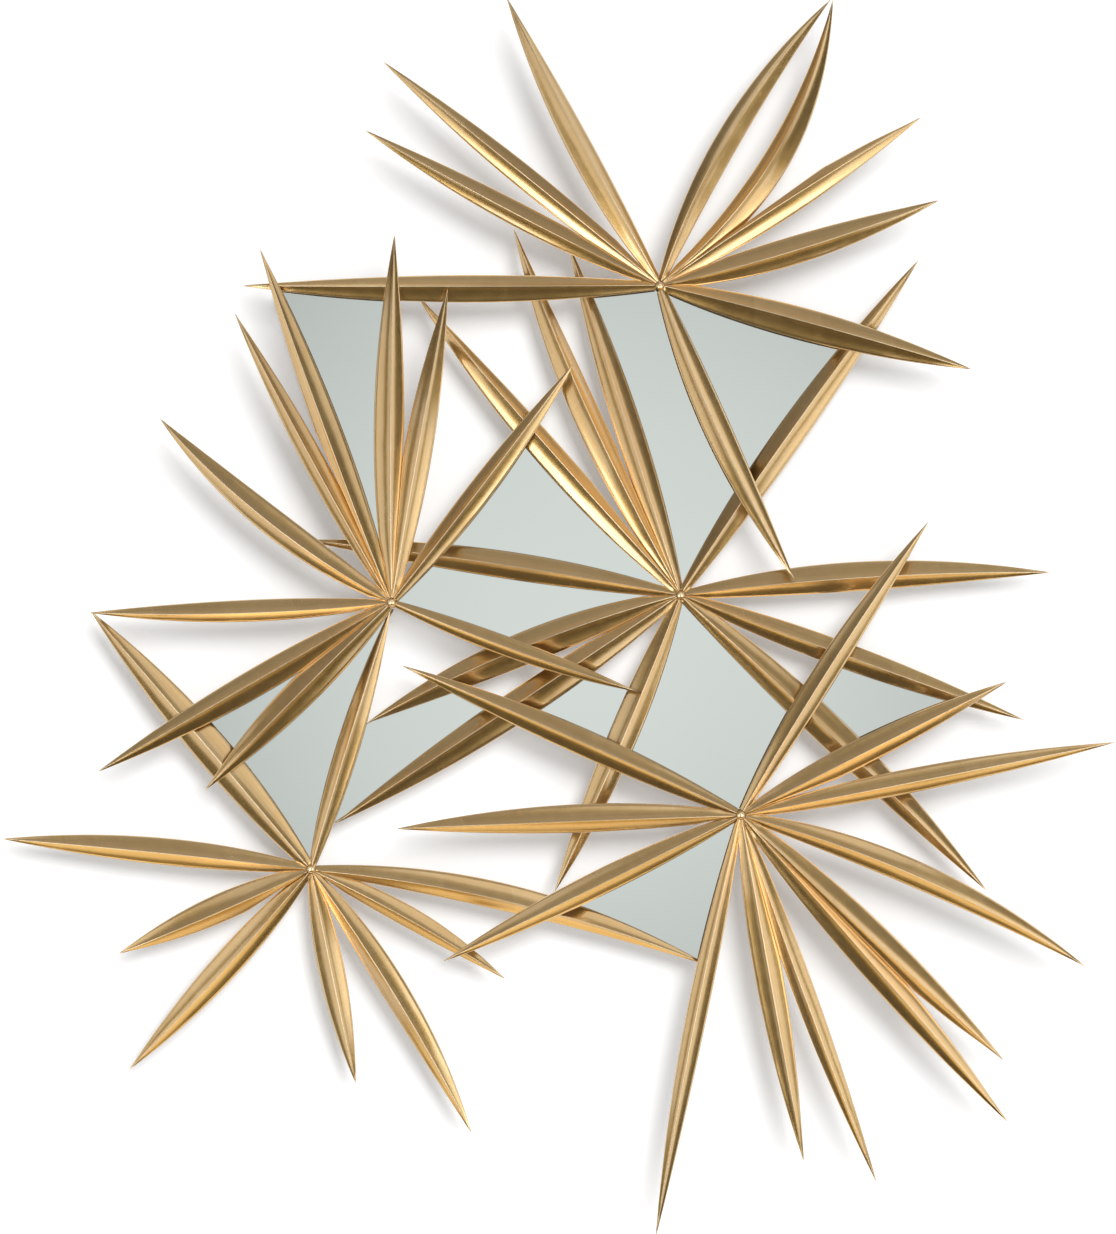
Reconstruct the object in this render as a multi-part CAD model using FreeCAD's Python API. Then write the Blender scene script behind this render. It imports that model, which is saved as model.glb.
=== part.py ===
import FreeCAD, Part
import math
import os
from collections import namedtuple

# A gilded sunburst wall mirror: five starbursts of carved rays that overlap in layers, with mirror
# panes behind them. Millimetres; +X is the viewer's right, +Z is up, +Y goes into the wall. The
# origin is on the wall's face, behind the hub of the centre star.

os.makedirs("parts", exist_ok=True)

# Depths, counted from the wall towards the viewer
WALL_GAP = 10.0          # wall to the back of the steel frame
BAR_THICKNESS = 3.0
BOARD_THICKNESS = 6.0
GLASS_THICKNESS = 4.0
LAYER_PITCH = 15.0       # one star's back to the next star's back

# Carved rays: a lens in outline and a low roof in section, on thin upright edges
EDGE_HEIGHT = 3.0
ROOF_SLOPE = 0.68        # rise of a facet for each millimetre of half width
ROOF_LIMIT = 11.2        # the roof stays under the rays of the next layer
ROOT_SWELL = 0.08        # how far along the lens the ray starts, at its hub
TIP_SWELL = 0.07         # what is left of the width at the very tip
STATIONS = (0.0, 0.1, 0.25, 0.4, 0.55, 0.7, 0.82, 0.92, 0.98, 1.0)
MITRE_MARGIN = 1.3       # how far past the fused roots a mitre cut runs
MITRE_WIDTH = 80.0

# Hubs: a threaded rod from the frame, and a small cap nut that clamps the rays
HUB_HOLE_RADIUS = 5.1
CAP_RADIUS = 4.9
CAP_SHANK = 3.0
CAP_SEAT = 1.0           # the cap's underside, in front of the star's back
ROD_RADIUS = 3.0
ROD_CLEARANCE = 2.0

CROSSING_PASSES = 6      # rounds that settle where two bowed rays cross
TOUCH = 0.01             # closer than this counts as the same place

# Panes and boards stand clear of their neighbours, out of sight behind the rays
PANE_INSET = 1.5
SHARP_CORNERS = 2        # the kind of offset that keeps corners
BOARD_INSET = 3.5

# Steel frame behind the boards
BAR_WIDTH = 12.0
DISC_RADIUS = 6.2

# Screws, the same in the frame and in the hangers
SCREW_HEAD_RADIUS = 3.5
SCREW_HEAD_HEIGHT = 1.8
SCREW_HEAD_ROUNDING = 1.1
SCREW_RADIUS = 1.75
SCREW_LENGTH = 7.0

# Strap hangers with hinged rings
STRAP_WIDTH = 16.0
STRAP_LENGTH = 43.0
STRAP_THICKNESS = 1.5
STRAP_SCREWS = (14.0, 34.0)   # below the hinge
BARREL_RADIUS = 3.0
BARREL_LENGTH = 12.0
RING_WIRE_RADIUS = 1.5
RING_HALF_WIDTH = 11.0
RING_HEIGHT = 20.0
RING_CORNER_RADIUS = 3.0
RING_LEAN = 3.0          # degrees, from upright towards the board
HINGE_CLEARANCE = 0.1
HANGERS = {"left": (-360.0, 260.0), "right": (25.0, 260.0)}

BUMPER_RADIUS = 9.0
HUB_BUMPER_RADIUS = 10.0
BUMPERS = ((-395.0, 305.0), (130.0, 240.0), (-430.0, -150.0), (-50.0, -335.0))

FRAME_BACK = WALL_GAP
BOARD_BACK = FRAME_BACK + BAR_THICKNESS
GLASS_BACK = BOARD_BACK + BOARD_THICKNESS
STAR_BACK = GLASS_BACK + GLASS_THICKNESS

# One ray: its direction in degrees counter-clockwise from the viewer's right, its length, half its
# greatest width, how far its middle bows to its left, how far its ridge is off its middle, and how
# far its tip rises towards the viewer. Rays that share a group are exported as one node.
Ray = namedtuple("Ray", "group angle length half_width bow ridge rise", defaults=(0.0,))
Star = namedtuple("Star", "hub layer rays")

STARS = {
    "top": Star((-23.0, 340.0), 1, (
        Ray("ray_pair_1", 17, 320, 15.8, -6.0, -1.0),
        Ray("ray_pair_1", 32.8, 340, 14.0, 0.0, 3.0),
        Ray("leaf_loop", 58.8, 367, 15.0, -38, 4.0),
        Ray("leaf_loop", 59.2, 366, 13.6, 18, 2.5),
        Ray("ray_2", 118, 359, 14.0, 6.5, -5.0),
        Ray("ray_pair_3", 141, 391, 13.0, 1.0, -1.4),
        Ray("ray_pair_3", 152.2, 366, 13.4, 4.0, 0.5),
        Ray("ray_4", 180, 458, 15.2, 3.5, -2.0),
        Ray("ray_5", 294.6, 354, 15.0, -8.0, -0.5),
        Ray("ray_6", 345, 354, 17.5, 0.5, 2.0))),
    "left": Star((-318.0, -8.0), 1, (
        Ray("ray_1", 52.6, 328, 13.6, -2.8, 1.4),
        Ray("ray_2", 79.8, 349, 15.8, 0.5, 0.0, 14.5),
        Ray("ray_3", 89.5, 402, 17.0, 4.0, -1.7, 15.5),
        Ray("ray_pair_4", 110.4, 413, 14.0, -1.0, 3.3, 8.0),
        Ray("ray_pair_4", 118.5, 361, 12.2, 1.0, 1.3),
        Ray("ray_5", 141.6, 325, 15.4, 12.5, 2.2),
        Ray("ray_6", 182, 332, 12.3, 4.0, 2.4),
        Ray("ray_pair_7", 210, 372, 15.5, 1.5, -1.0),
        Ray("ray_pair_7", 225.2, 290, 17.0, -1.0, 0.0),
        Ray("ray_8", 340, 288, 10.8, -2.5, -0.8))),
    "centre": Star((0.0, 0.0), 0, (
        Ray("ray_1", 3.5, 407, 16.4, 8.5, -1.7),
        Ray("ray_2", 54.6, 452, 16.0, 4.0, 1.6),
        Ray("ray_pair_3", 107.7, 405, 15.5, -1.0, 0.5),
        Ray("ray_pair_3", 114.5, 443, 15.4, 12.0, -2.8),
        Ray("ray_4", 131.3, 441, 15.5, 6.5, -4.0),
        Ray("ray_5", 171.7, 419, 15.2, -5.0, 0.6),
        Ray("ray_pair_6", 202.2, 372, 18.2, -10.5, -1.6),
        Ray("ray_pair_6", 213.5, 456, 18.0, 3.0, -2.5),
        Ray("ray_7", 247, 355, 16.0, 2.5, 0.8),
        Ray("ray_8", 316, 468, 17.8, 6.5, -2.2),
        Ray("ray_9", 340, 402, 14.5, -0.8, 0.0))),
    "bottom": Star((-407.0, -302.0), 0, (
        Ray("ray_1", 130.5, 373, 19.5, -2.5, 1.6),
        Ray("ray_2", 174.4, 341, 15.0, -3.5, 1.7),
        Ray("ray_pair_3", 203.7, 230, 15.8, -1.0, 3.5),
        Ray("ray_pair_3", 227.8, 297, 15.6, 1.5, 1.9),
        Ray("ray_4", 281.8, 241, 14.5, -0.7, 0.0),
        Ray("ray_5", 301.3, 340, 14.6, 9.5, -2.4),
        Ray("ray_6", 330.5, 245, 12.0, 7.2, -2.2),
        Ray("ray_7", 346.4, 449, 15.2, 20.0, -3.3),
        Ray("ray_8", 73, 300, 13.0, 0.5, 0.8))),
    "right": Star((66.0, -242.0), 1, (
        Ray("ray_pair_1", 11, 418, 13.4, 1.5, -2.0),
        Ray("ray_pair_1", 26.6, 326, 15.0, 2.5, -1.9),
        Ray("ray_2", 57.4, 382, 13.5, 6.0, -0.5),
        Ray("ray_3", 156.2, 406, 14.8, -3.0, -0.3),
        Ray("ray_4", 182.3, 378, 15.8, -3.5, 2.8),
        Ray("ray_5", 206.2, 364, 14.2, -1.8, 1.7),
        Ray("ray_6", 258.6, 473, 11.5, -4.2, -0.5),
        Ray("ray_pair_7", 280.3, 386, 15.5, -1.2, 0.6),
        Ray("ray_pair_7", 290.3, 430, 12.2, -2.2, -1.1),
        Ray("ray_pair_8", 311, 446, 15.5, 1.0, 0.9),
        Ray("ray_pair_8", 317, 394, 16.6, 1.5, -1.7),
        Ray("ray_9", 336.3, 413, 14.8, 17.8, -1.6))),
}

# Panes: the corners, in order. A corner is a hub, or where two rays cross.
TOP_LEFT, TOP_DOWN_RIGHT = ("top", 7), ("top", 9)
LEFT_INWARD, BOTTOM_UPWARD = ("left", 9), ("bottom", 8)
PANES = {
    "upper_left": ((TOP_LEFT, ("left", 2)), "left", (TOP_LEFT, ("left", 3))),
    "upper_right": ((TOP_LEFT, ("centre", 2)), "top", (TOP_DOWN_RIGHT, ("centre", 1)), "centre"),
    "centre_left": ((("left", 0), ("centre", 4)), "centre", (("centre", 5), ("left", 0))),
    "middle_left": ((("centre", 5), ("left", 0)), "left", (LEFT_INWARD, ("centre", 6)), "centre"),
    "small_centre": ((LEFT_INWARD, ("centre", 7)), (LEFT_INWARD, ("centre", 8)),
                     (("right", 3), ("centre", 8)), (("right", 3), ("centre", 7))),
    "lower_left": ((BOTTOM_UPWARD, ("centre", 6)), (("right", 3), ("centre", 6)),
                   (("right", 3), ("centre", 7)), (BOTTOM_UPWARD, ("centre", 7))),
    "outer_left": ("left", (("left", 7), ("bottom", 0)), "bottom"),
    "lower_centre": ("centre", (("centre", 9), ("right", 2)), "right", (("right", 3), ("centre", 8))),
    "small_right": ((("right", 2), ("centre", 9)), (("right", 2), ("centre", 10)),
                    (("right", 1), ("centre", 10)), (("right", 1), ("centre", 9))),
    "bottom": ("right", (("right", 6), ("bottom", 7)), (("right", 5), ("bottom", 7))),
}

# Frame bars: from hub to hub, and branches given by hub, direction and length
HUB_BARS = (("top", "centre"), ("centre", "left"), ("centre", "right"))
BRANCH_BARS = (("left", 97.0, 190.0), ("left", 239.0, 157.0), ("bottom", 101.0, 135.0),
               ("centre", 316.0, 250.0), ("centre", 247.0, 190.0), ("right", 248.0, 120.0))
BAR_SCREWS = (0.3, 0.7)  # places along each bar


def vector(x, depth, z):
    """A point in the part's frame, from its depth in front of the wall."""
    return FreeCAD.Vector(x, -depth, z)


def direction(angle):
    return math.cos(math.radians(angle)), math.sin(math.radians(angle))


def swell(t):
    """The lens outline: the fraction of the greatest width at fraction t of the length."""
    along = ROOT_SWELL + (1 - ROOT_SWELL) * t
    return max(4 * along * (1 - along), TIP_SWELL)


def bowed(ray, t):
    return ray.bow * 4 * t * (1 - t)


def ray_section(star, ray, t):
    """The closed outline across a ray at fraction t: flat back, upright edges and a roof."""
    along_x, along_z = direction(ray.angle)
    left_x, left_z = -along_z, along_x
    size = swell(t)
    middle = bowed(ray, t)
    edge = EDGE_HEIGHT * math.sqrt(size)
    top = edge + min(ROOF_SLOPE * ray.half_width, ROOF_LIMIT) * size
    half = ray.half_width * size
    back = STAR_BACK + star.layer * LAYER_PITCH + ray.rise * t
    outline = ((half, 0.0), (half, edge), (ray.ridge * size, top), (-half, edge), (-half, 0.0))
    corners = []
    for across, height in outline:
        x = star.hub[0] + along_x * ray.length * t + left_x * (middle + across)
        z = star.hub[1] + along_z * ray.length * t + left_z * (middle + across)
        corners.append(vector(x, back + height, z))
    return Part.makePolygon(corners + corners[:1])


def ray_solid(star, ray):
    return Part.makeLoft([ray_section(star, ray, t) for t in STATIONS], True, False)


def root_angle(ray):
    """The direction a bowed ray sets off in, over its first third."""
    return ray.angle + math.degrees(math.atan(3 * ray.bow / ray.length))


def beyond_valley(hub, angle, reach, side):
    """The block on one side of the upright plane through a hub: side 1 is its left, -1 its right."""
    start_z = 0.0 if side > 0 else -MITRE_WIDTH
    corner = FreeCAD.Vector(-MITRE_WIDTH, -MITRE_WIDTH, start_z)
    block = Part.makeBox(MITRE_WIDTH + reach, MITRE_WIDTH, MITRE_WIDTH, corner)
    block.rotate(FreeCAD.Vector(0, 0, 0), FreeCAD.Vector(0, -1, 0), angle)
    block.translate(vector(hub[0], 0, hub[1]))
    return block


def hub_fan(name):
    """A hub's rays in turning order, each with the key of its solid."""
    fan = [((name, number), ray) for number, ray in enumerate(STARS[name].rays)]
    return sorted(fan, key=lambda entry: root_angle(entry[1]) % 360)


def mitre_hub(solids, name):
    """Mitres each pair of neighbours in a fan along the valley between them, and bores the hub."""
    hub = STARS[name].hub
    fan = hub_fan(name)
    for (key, ray), (next_key, next_ray) in zip(fan, fan[1:] + fan[:1]):
        gap = (root_angle(next_ray) - root_angle(ray)) % 360
        if gap >= 180:
            continue
        facet = ray.half_width - ray.ridge
        next_facet = next_ray.half_width + next_ray.ridge
        valley = root_angle(ray) + gap * facet / (facet + next_facet)
        fused = MITRE_MARGIN * (facet + next_facet) / math.sin(math.radians(min(gap, 90.0)))
        reach = min(fused, max(ray.length, next_ray.length))
        solids[key] = solids[key].cut(beyond_valley(hub, valley, reach, 1))
        solids[next_key] = solids[next_key].cut(beyond_valley(hub, valley, reach, -1))
    bore = rod(hub, HUB_HOLE_RADIUS, STAR_BACK, STAR_BACK + 3 * LAYER_PITCH)
    for key, _ in fan:
        solids[key] = largest(solids[key].cut(bore))


def largest(shape):
    """The largest solid of a cut shape."""
    return max(shape.Solids, key=lambda solid: solid.Volume)


def rod(place, radius, depth_from, depth_to):
    """A cylinder square to the wall, between two depths."""
    start = vector(place[0], depth_from, place[1])
    return Part.makeCylinder(radius, depth_to - depth_from, start, FreeCAD.Vector(0, -1, 0))


def ray_groups():
    """All the rays, mitred and bored, as lists of solids by node name."""
    solids = {}
    for name, star in STARS.items():
        for number, ray in enumerate(star.rays):
            solids[name, number] = ray_solid(star, ray)
    for name in STARS:
        mitre_hub(solids, name)
    groups = {}
    for (name, number), solid in solids.items():
        group = STARS[name].rays[number].group
        groups.setdefault(f"{name}_star_{group}", []).append(solid)
    return groups


def crossing(first, second):
    """Where the middles of two rays cross, as x and z."""
    lines = []
    for name, number in (first, second):
        star = STARS[name]
        lines.append([star.hub, star.rays[number], 0.0])
    for _ in range(CROSSING_PASSES):
        (hub_a, ray_a, off_a), (hub_b, ray_b, off_b) = lines
        ax, az = direction(ray_a.angle)
        bx, bz = direction(ray_b.angle)
        dx = (hub_b[0] - bz * off_b) - (hub_a[0] - az * off_a)
        dz = (hub_b[1] + bx * off_b) - (hub_a[1] + ax * off_a)
        along_a = (dx * bz - dz * bx) / (ax * bz - az * bx)
        point = (hub_a[0] - az * off_a + ax * along_a, hub_a[1] + ax * off_a + az * along_a)
        for line in lines:
            hub, ray, _ = line
            rx, rz = direction(ray.angle)
            t = ((point[0] - hub[0]) * rx + (point[1] - hub[1]) * rz) / ray.length
            line[2] = bowed(ray, min(t, 1.0))
    return point


def pane_corners(name):
    corners = []
    for corner in PANES[name]:
        corners.append(STARS[corner].hub if isinstance(corner, str) else crossing(*corner))
    return corners


def pane_slab(corners, depth, thickness, inset):
    """A flat polygon slab, clear of the hub rods."""
    points = [vector(x, depth, z) for x, z in corners]
    face = Part.Face(Part.makePolygon(points + points[:1])).makeOffset2D(-inset, SHARP_CORNERS)
    slab = face.extrude(FreeCAD.Vector(0, -thickness, 0))
    for star in STARS.values():
        slab = slab.cut(rod(star.hub, ROD_RADIUS + ROD_CLEARANCE, depth, depth + thickness))
    return largest(slab)


def bar_runs():
    """The frame's bars, each as its start, its end and its direction in degrees."""
    runs = []
    for start, end in HUB_BARS:
        (x0, z0), (x1, z1) = STARS[start].hub, STARS[end].hub
        angle = math.degrees(math.atan2(z1 - z0, x1 - x0))
        runs.append((STARS[start].hub, angle, math.hypot(x1 - x0, z1 - z0) - DISC_RADIUS))
    for hub, angle, length in BRANCH_BARS:
        runs.append((STARS[hub].hub, angle, length))
    return runs


def along(start, angle, distance):
    step_x, step_z = direction(angle)
    return start[0] + step_x * distance, start[1] + step_z * distance


def frame_bar(start, angle, length):
    """A flat bar, from the rim of its hub's disc."""
    bar = Part.makeBox(length - DISC_RADIUS, BAR_THICKNESS, BAR_WIDTH,
                       FreeCAD.Vector(DISC_RADIUS, -BAR_THICKNESS, -BAR_WIDTH / 2))
    bar.rotate(FreeCAD.Vector(0, 0, 0), FreeCAD.Vector(0, -1, 0), angle)
    bar.translate(vector(start[0], FRAME_BACK, start[1]))
    return bar


def frame_solids():
    """Discs at the hubs and bars between them. Each solid is trimmed by the ones before it."""
    solids = [rod(star.hub, DISC_RADIUS, FRAME_BACK, BOARD_BACK) for star in STARS.values()]
    for start, angle, length in bar_runs():
        bar = frame_bar(start, angle, length)
        solids.append(largest(bar.cut(solids)))
    return solids


def screw_places():
    """Where the screws go, each with the depth of the face under its head."""
    places = []
    for start, angle, length in bar_runs():
        for part in BAR_SCREWS:
            places.append((along(start, angle, length * part), FRAME_BACK))
    for x, z in HANGERS.values():
        for below in STRAP_SCREWS:
            places.append(((x, z - below), BOARD_BACK - STRAP_THICKNESS))
    return places


def screw(place, face_depth):
    """A pan-head screw, driven from the back."""
    top_depth = face_depth - SCREW_HEAD_HEIGHT
    head = rod(place, SCREW_HEAD_RADIUS, top_depth, face_depth)
    rim = [edge for edge in head.Edges if abs(edge.BoundBox.YMin + top_depth) < TOUCH]
    head = head.makeFillet(SCREW_HEAD_ROUNDING, rim)
    shank = rod(place, SCREW_RADIUS, face_depth, face_depth + SCREW_LENGTH)
    return largest(head.fuse(shank).removeSplitter())


def drilled(shape):
    """A shape with the screws' holes."""
    shanks = [rod(place, SCREW_RADIUS, depth, depth + SCREW_LENGTH) for place, depth in screw_places()]
    return largest(shape.cut(shanks))


def strap(x, z):
    """A strap hanger: a flat tongue with a barrel along its top."""
    hinge_depth = BOARD_BACK - BARREL_RADIUS
    corner = FreeCAD.Vector(x - STRAP_WIDTH / 2, -BOARD_BACK, z - STRAP_LENGTH)
    tongue = Part.makeBox(STRAP_WIDTH, STRAP_THICKNESS, STRAP_LENGTH, corner)
    start = vector(x - BARREL_LENGTH / 2, hinge_depth, z)
    across = FreeCAD.Vector(1, 0, 0)
    barrel = Part.makeCylinder(BARREL_RADIUS, BARREL_LENGTH, start, across)
    bore_start = vector(x - STRAP_WIDTH, hinge_depth, z)
    bore = Part.makeCylinder(RING_WIRE_RADIUS + HINGE_CLEARANCE, 2 * STRAP_WIDTH, bore_start, across)
    return drilled(tongue.fuse(barrel).cut(bore))


def ring(x, z):
    """A D-shaped wire ring, its straight side in the strap's barrel."""
    half, height, corner = RING_HALF_WIDTH, RING_HEIGHT, RING_CORNER_RADIUS
    shoulder = height - half
    diagonal = corner * (1 - math.sqrt(0.5))

    def at(px, pz):
        return FreeCAD.Vector(px, 0, pz)

    path = Part.Wire([
        Part.makeLine(at(0, 0), at(half - corner, 0)),
        Part.Arc(at(half - corner, 0), at(half - diagonal, diagonal), at(half, corner)).toShape(),
        Part.makeLine(at(half, corner), at(half, shoulder)),
        Part.Arc(at(half, shoulder), at(0, height), at(-half, shoulder)).toShape(),
        Part.makeLine(at(-half, shoulder), at(-half, corner)),
        Part.Arc(at(-half, corner), at(diagonal - half, diagonal), at(corner - half, 0)).toShape(),
        Part.makeLine(at(corner - half, 0), at(0, 0)),
    ])
    section = Part.Wire(Part.makeCircle(RING_WIRE_RADIUS, at(0, 0), FreeCAD.Vector(1, 0, 0)))
    wire = path.makePipeShell([section], True, False)
    wire.rotate(at(0, 0), FreeCAD.Vector(1, 0, 0), RING_LEAN)
    wire.translate(vector(x, BOARD_BACK - BARREL_RADIUS, z))
    return wire.Solids[0]


def cap_seat(star):
    return STAR_BACK + star.layer * LAYER_PITCH + CAP_SEAT


def cap(star):
    """A domed cap nut, let into the star's hub."""
    seat = cap_seat(star)
    shank = rod(star.hub, CAP_RADIUS, seat, seat + CAP_SHANK)
    dome = Part.makeSphere(CAP_RADIUS, vector(star.hub[0], seat + CAP_SHANK, star.hub[1]))
    behind = rod(star.hub, 2 * CAP_RADIUS, seat - CAP_RADIUS, seat + CAP_SHANK)
    return largest(shank.fuse(dome.cut(behind)).removeSplitter())


def hub_rod(star):
    """A threaded rod, from the frame's disc to the cap."""
    return rod(star.hub, ROD_RADIUS, BOARD_BACK, cap_seat(star))


def bumpers():
    """Rubber pads that keep the frame off the wall."""
    pads = [rod(place, BUMPER_RADIUS, 0.0, BOARD_BACK) for place in BUMPERS]
    pads.append(rod(STARS["centre"].hub, HUB_BUMPER_RADIUS, 0.0, FRAME_BACK))
    return pads


def export(name, solids):
    shape = solids[0] if len(solids) == 1 else Part.makeCompound(solids)
    shape.exportStep(os.path.join("parts", name + ".step"))
    volume = sum(solid.Volume for solid in solids)
    valid = all(solid.isValid() and solid.isClosed() for solid in solids)
    print(f"{name}: {len(solids)} solid(s), {volume / 1000:.1f} cm3, valid {valid}")


def main():
    for name, solids in ray_groups().items():
        export(name, solids)
    boards = []
    for name in PANES:
        corners = pane_corners(name)
        export(name + "_pane", [pane_slab(corners, GLASS_BACK, GLASS_THICKNESS, PANE_INSET)])
        boards.append(drilled(pane_slab(corners, BOARD_BACK, BOARD_THICKNESS, BOARD_INSET)))
    export("backing_boards", boards)
    export("frame_bars", [drilled(solid) for solid in frame_solids()])
    export("hub_rods", [hub_rod(star) for star in STARS.values()])
    export("hub_caps", [cap(star) for star in STARS.values()])
    export("screws", [screw(place, depth) for place, depth in screw_places()])
    export("wall_bumpers", bumpers())
    export("hanger_straps", [strap(x, z) for x, z in HANGERS.values()])
    for side, (x, z) in HANGERS.items():
        export(side + "_hanger_ring", [ring(x, z)])


main()
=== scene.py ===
import math

import bmesh
import bpy
import numpy as np
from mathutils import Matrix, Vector, noise


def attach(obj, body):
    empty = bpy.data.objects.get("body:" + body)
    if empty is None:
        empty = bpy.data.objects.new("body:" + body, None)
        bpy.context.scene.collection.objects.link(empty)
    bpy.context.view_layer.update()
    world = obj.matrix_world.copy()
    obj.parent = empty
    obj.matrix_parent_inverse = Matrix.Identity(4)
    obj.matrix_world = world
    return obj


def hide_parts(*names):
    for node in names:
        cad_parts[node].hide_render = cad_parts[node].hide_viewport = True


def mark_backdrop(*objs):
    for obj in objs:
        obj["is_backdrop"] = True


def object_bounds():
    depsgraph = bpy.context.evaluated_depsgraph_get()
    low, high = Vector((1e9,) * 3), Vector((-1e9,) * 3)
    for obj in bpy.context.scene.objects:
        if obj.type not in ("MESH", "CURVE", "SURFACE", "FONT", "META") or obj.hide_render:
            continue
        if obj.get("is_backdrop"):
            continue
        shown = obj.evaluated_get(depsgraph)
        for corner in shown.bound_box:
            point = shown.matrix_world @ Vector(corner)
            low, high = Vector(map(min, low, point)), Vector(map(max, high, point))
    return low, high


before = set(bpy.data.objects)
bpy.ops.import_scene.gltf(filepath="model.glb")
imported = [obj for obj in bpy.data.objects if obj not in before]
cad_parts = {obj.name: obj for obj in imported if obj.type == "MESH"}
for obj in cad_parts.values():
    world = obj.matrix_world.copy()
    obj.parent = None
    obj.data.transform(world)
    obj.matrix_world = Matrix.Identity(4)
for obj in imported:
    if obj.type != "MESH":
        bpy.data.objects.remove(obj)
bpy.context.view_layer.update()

# A gilded sunburst wall mirror. Every ray is carved anew on its CAD solid: hollow facets, a softened
# ridge, rounded edges and a hand-worked surface. Metres; the mirror faces -Y.

MM = 0.001
ROOT_BODY = "mirror"
WELD_GAP = 0.002 * MM          # split corners closer than this are one

# Carving: where a ray's sections lie along it, and the shape of each
STATION_STEP = 6.0 * MM
END_STEP = 1.6 * MM            # stations lie closer together at root and tip
END_REACH = 30 * MM            # over this far from each end
ROOT_START = 5.2 * MM          # the rays begin at the rim of the hub's bore
TIP_GAP = 0.8 * MM             # the last regular station stays this far from the tip
TIP_END = 0.3 * MM             # the carved ray stops this far short of its solid's tip
SMOOTH_REACH = 14 * MM         # how far the smoothing of heights looks along a ray
SMOOTH_START = 15 * MM         # it begins this far from each end
SMOOTH_BLEND = 25 * MM         # and comes in over this length
EDGE_LIMIT = 3.08 * MM         # a section's rim is higher than this only where it is mitred
OUTLINE_DEGREE = 4             # of the curve that runs through a rim or ridge
OUTLINE_POINTS = 8             # the fewest stations that such a curve is drawn through
CUT_NUDGE = 1e-7               # keeps a cut off the mesh's own corners
RIM_INSET = 0.04 * MM          # heights at a rim are read this far inside it
RIM_INSET_SHARE = 0.05         # or this share of the ray's width, if less
RIDGE_MARGIN = 0.1             # the ridge keeps this share of the width from either rim
ROLL_WIDTH = 1.8 * MM          # the facets roll over at the rim
ROLL_DEPTH = 1.1 * MM
ROLL_SHARE = 0.16              # neither is more than this share of the facet's width
ROLL_HEIGHT_SHARE = 0.4        # nor is the roll deeper than this share of the upright edge
BACK_CHAMFER = 0.3             # the back corner is cut by this share of the roll's depth
RIDGE_ROUND = 0.5 * MM
RIDGE_SHARE = 0.2              # the most of a facet's width that the ridge's rounding takes
RIDGE_DROP = 0.15              # the rounding takes this much of itself off the ridge's height
HOLLOW = 0.065                 # depth of a facet's hollow, as a share of the facet's width
WAVE = 0.16 * MM               # height of the slow waves that the gouge leaves
WAVE_RATE = 38                 # how often they come, for each metre
WAVE_WIDTH = 12 * MM           # narrower than this, the ray's waves fade
FACET_STEPS = (0.2, 0.36, 0.52, 0.68, 0.84)
ROLL_STEPS = ((0.0, 0.1), (28.0, 0.5), (58.0, 0.45))    # degrees round the roll, and the wear and painted highlight there
RIDGE_STEPS = ((1.0, 1.1, 0.25), (0.4, 0.42, 0.95))     # out and down from the ridge, and the wear and painted highlight
BACK_POINTS = 1 + len(ROLL_STEPS)                       # of a half section, from the back to the roll
SHARP_CARVING = 50.0           # degrees: steeper folds than this stay crisp
RAY_LOT = 0.37                 # steps of the number that sets one ray's surface apart from the next
NODE_LOT = 1.7


def new_mesh_object(points, faces, name):
    """A new mesh object from points and faces."""
    mesh = bpy.data.meshes.new(name)
    mesh.from_pydata([tuple(point) for point in points], [], faces)
    mesh.update()
    made = bpy.data.objects.new(name, mesh)
    bpy.context.scene.collection.objects.link(made)
    return made


def carved_surface(mesh):
    """Turn the mesh's faces outwards, and smooth it but for its sharp folds."""
    work = bmesh.new()
    work.from_mesh(mesh)
    bmesh.ops.recalc_face_normals(work, faces=work.faces)
    work.to_mesh(mesh)
    work.free()
    mesh.shade_smooth()
    mesh.set_sharp_from_angle(angle=math.radians(SHARP_CARVING))


def record_on_points(mesh, leaf, wear_and_highlight):
    """Keep, on each point, where it lies in the gilding and how much its gold is paled: partly wear, partly
    a painted highlight.
    """
    where = mesh.attributes.new("leaf", "FLOAT_VECTOR", "POINT")
    where.data.foreach_set("vector", np.array(leaf, np.float32).ravel())
    worn_and_highlit = mesh.attributes.new("wear_and_highlight", "FLOAT", "POINT")
    worn_and_highlit.data.foreach_set("value", np.array(wear_and_highlight, np.float32))


def welded(node):
    """The CAD node's mesh, with its split corners joined, as a bmesh."""
    work = bmesh.new()
    work.from_mesh(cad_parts[node].data)
    bmesh.ops.remove_doubles(work, verts=work.verts, dist=WELD_GAP)
    return work


def loose_parts(node):
    """The triangles of each solid in a CAD node, as an array of corner points."""
    work = welded(node)
    bmesh.ops.triangulate(work, faces=work.faces)
    work.faces.ensure_lookup_table()
    seen = set()
    parts = []
    for first in work.faces:
        if first.index in seen:
            continue
        seen.add(first.index)
        stack, part = [first], []
        while stack:
            face = stack.pop()
            part.append([tuple(vert.co) for vert in face.verts])
            for edge in face.edges:
                for other in edge.link_faces:
                    if other.index not in seen:
                        seen.add(other.index)
                        stack.append(other)
        parts.append(np.array(part))
    work.free()
    return parts


def middle(part):
    """The middle of a part's box."""
    points = part.reshape(-1, 3)
    return (points.min(0) + points.max(0)) / 2


HUBS = [middle(part) for part in loose_parts("hub_caps")]


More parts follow.
